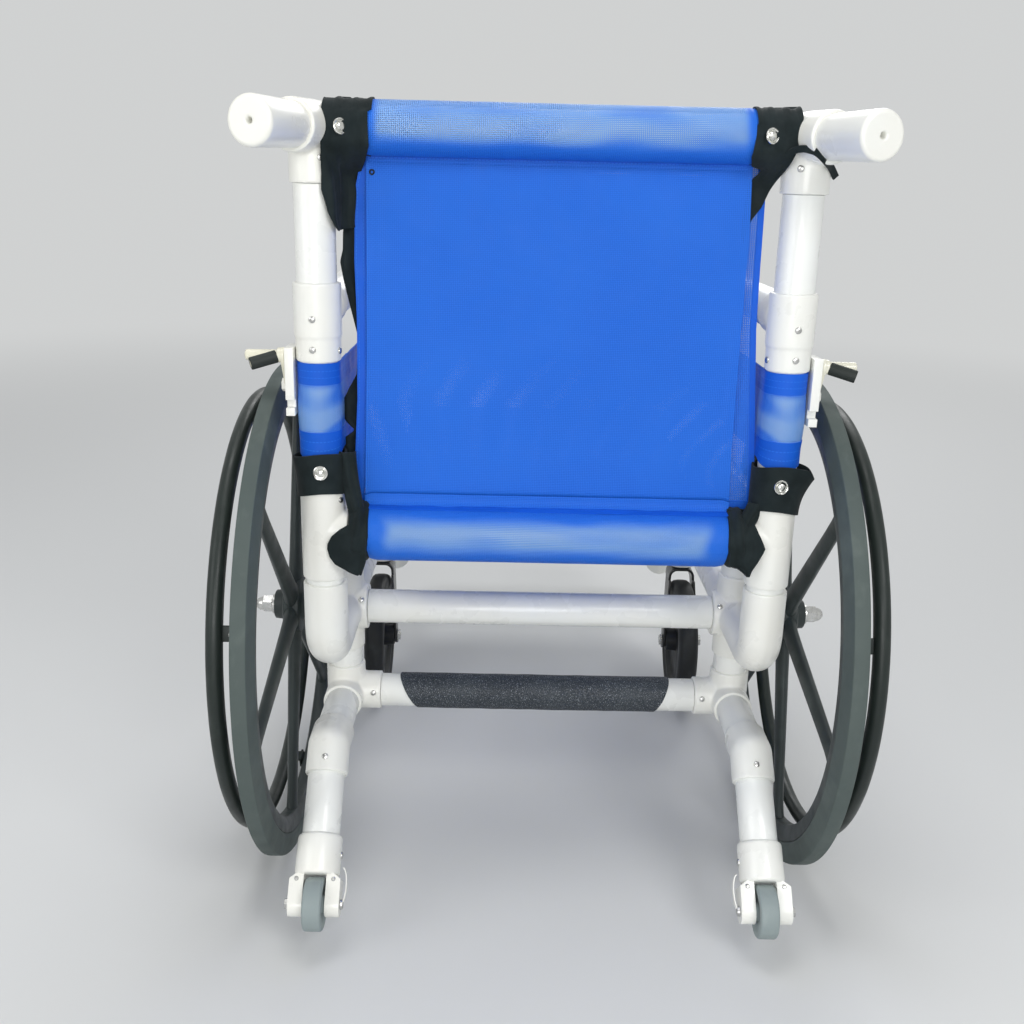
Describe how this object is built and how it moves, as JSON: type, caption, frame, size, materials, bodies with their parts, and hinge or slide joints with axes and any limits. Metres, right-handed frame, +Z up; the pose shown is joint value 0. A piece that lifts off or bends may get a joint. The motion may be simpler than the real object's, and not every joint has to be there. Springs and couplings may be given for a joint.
{
  "type": "pool wheelchair",
  "caption": "Self-propelled pool wheelchair: plastic pipe frame, blue mesh slings, large spoked wheels with handrims, swivel casters, anti-tip legs, wheel locks and a flip-up footplate.",
  "frame": {"origin": "on the floor, under the middle of the object's bounding box", "axes": "+Z up, the chair faces -Y, +X is the sitter's left"},
  "size_m": [0.7226, 1.105, 0.9014],
  "materials": {
    "white_pipe": "smooth moulded and extruded plastic, slightly glossy",
    "blue_mesh": "coated open-weave mesh",
    "black_strap": "matt black webbing",
    "grip_tape": "gritty non-slip tape",
    "grey_tyre": "solid dark grey tyre",
    "dark_wheel": "moulded dark grey plastic",
    "handrim_coat": "black coated tube",
    "black_caster": "black caster wheel",
    "black_fork": "black coated steel",
    "grey_wheel": "grey wheel",
    "steel": "bright stainless steel",
    "black_grip": "black rubber and coated steel"
  },
  "bodies": {
    "frame": {"anti_tip_clevis_left": "white_pipe", "anti_tip_clevis_right": "white_pipe", "anti_tip_leg_left": "white_pipe", "anti_tip_leg_right": "white_pipe", "arm_tee_left": "white_pipe", "arm_tee_right": "white_pipe", "armrest_frame_left": "white_pipe", "armrest_frame_right": "white_pipe", "axle_tube": "white_pipe", "back_post_left": "white_pipe", "back_post_right": "white_pipe", "back_sling": "blue_mesh", "corner_fitting_left": "white_pipe", "corner_fitting_right": "white_pipe", "footrest_leg_left": "white_pipe", "footrest_leg_right": "white_pipe", "front_upright_left": "white_pipe", "front_upright_right": "white_pipe", "grip_tape": "grip_tape", "lock_plate_left": "white_pipe", "lock_plate_right": "white_pipe", "low_strap_left": "black_strap", "low_strap_right": "black_strap", "lower_back_tube": "white_pipe", "lower_fitting_left": "white_pipe", "lower_fitting_right": "white_pipe", "lower_rail_left": "white_pipe", "lower_rail_right": "white_pipe", "lower_tube": "white_pipe", "push_handle_left": "white_pipe", "push_handle_right": "white_pipe", "rear_upright_left": "white_pipe", "rear_upright_right": "white_pipe", "seat_front_tube": "white_pipe", "seat_rail_left": "white_pipe", "seat_rail_right": "white_pipe", "seat_sling": "blue_mesh", "seat_tee_left": "white_pipe", "seat_tee_right": "white_pipe", "side_panel_left": "blue_mesh", "side_panel_right": "blue_mesh", "top_strap_left": "black_strap", "top_strap_right": "black_strap", "upper_back_tube": "white_pipe", "wheel_axle": "steel"},
    "rear_wheel_left": {"tyre_left": "grey_tyre", "wheel_left": "dark_wheel", "handrim_left": "handrim_coat"},
    "caster_swivel_left": {"caster_fork_left": "black_fork"},
    "caster_roller_left": {"caster_wheel_left": "black_caster"},
    "anti_tip_roller_left": {"anti_tip_wheel_left": "grey_wheel"},
    "wheel_lock_left": {"lock_lever_left": "black_grip"},
    "rear_wheel_right": {"tyre_right": "grey_tyre", "wheel_right": "dark_wheel", "handrim_right": "handrim_coat"},
    "caster_swivel_right": {"caster_fork_right": "black_fork"},
    "caster_roller_right": {"caster_wheel_right": "black_caster"},
    "anti_tip_roller_right": {"anti_tip_wheel_right": "grey_wheel"},
    "wheel_lock_right": {"lock_lever_right": "black_grip"},
    "footplate_flap": {"footplate": "white_pipe"}
  },
  "joints": [
    {"name": "rear_wheel_left_spin", "type": "hinge", "parent": "frame", "child": "rear_wheel_left", "pos_m": [0.311, 0.2475, 0.305], "axis": [1, 0, 0], "continuous": true},
    {"name": "caster_left_swivel", "type": "hinge", "parent": "frame", "child": "caster_swivel_left", "pos_m": [0.248, -0.1675, 0.24], "axis": [0, 0, 1], "continuous": true},
    {"name": "caster_left_spin", "type": "hinge", "parent": "caster_swivel_left", "child": "caster_roller_left", "pos_m": [0.248, -0.1275, 0.1], "axis": [1, 0, 0], "continuous": true},
    {"name": "anti_tip_left_spin", "type": "hinge", "parent": "frame", "child": "anti_tip_roller_left", "pos_m": [0.248, 0.51951, 0.06249], "axis": [1, 0, 0], "continuous": true},
    {"name": "wheel_lock_left_lever", "type": "hinge", "parent": "frame", "child": "wheel_lock_left", "pos_m": [0.29, 0.3675, 0.61], "axis": [1, 0, 0], "range_deg": [0, 51]},
    {"name": "rear_wheel_right_spin", "type": "hinge", "parent": "frame", "child": "rear_wheel_right", "pos_m": [-0.311, 0.2475, 0.305], "axis": [1, 0, 0], "continuous": true},
    {"name": "caster_right_swivel", "type": "hinge", "parent": "frame", "child": "caster_swivel_right", "pos_m": [-0.248, -0.1675, 0.24], "axis": [0, 0, 1], "continuous": true},
    {"name": "caster_right_spin", "type": "hinge", "parent": "caster_swivel_right", "child": "caster_roller_right", "pos_m": [-0.248, -0.1275, 0.1], "axis": [1, 0, 0], "continuous": true},
    {"name": "anti_tip_right_spin", "type": "hinge", "parent": "frame", "child": "anti_tip_roller_right", "pos_m": [-0.248, 0.51951, 0.06249], "axis": [1, 0, 0], "continuous": true},
    {"name": "wheel_lock_right_lever", "type": "hinge", "parent": "frame", "child": "wheel_lock_right", "pos_m": [-0.29, 0.3675, 0.61], "axis": [1, 0, 0], "range_deg": [0, 51]},
    {"name": "footplate_flip", "type": "hinge", "parent": "frame", "child": "footplate_flap", "pos_m": [0, -0.3925, 0.15], "axis": [-1, 0, 0], "range_deg": [0, 95]}
  ]
}
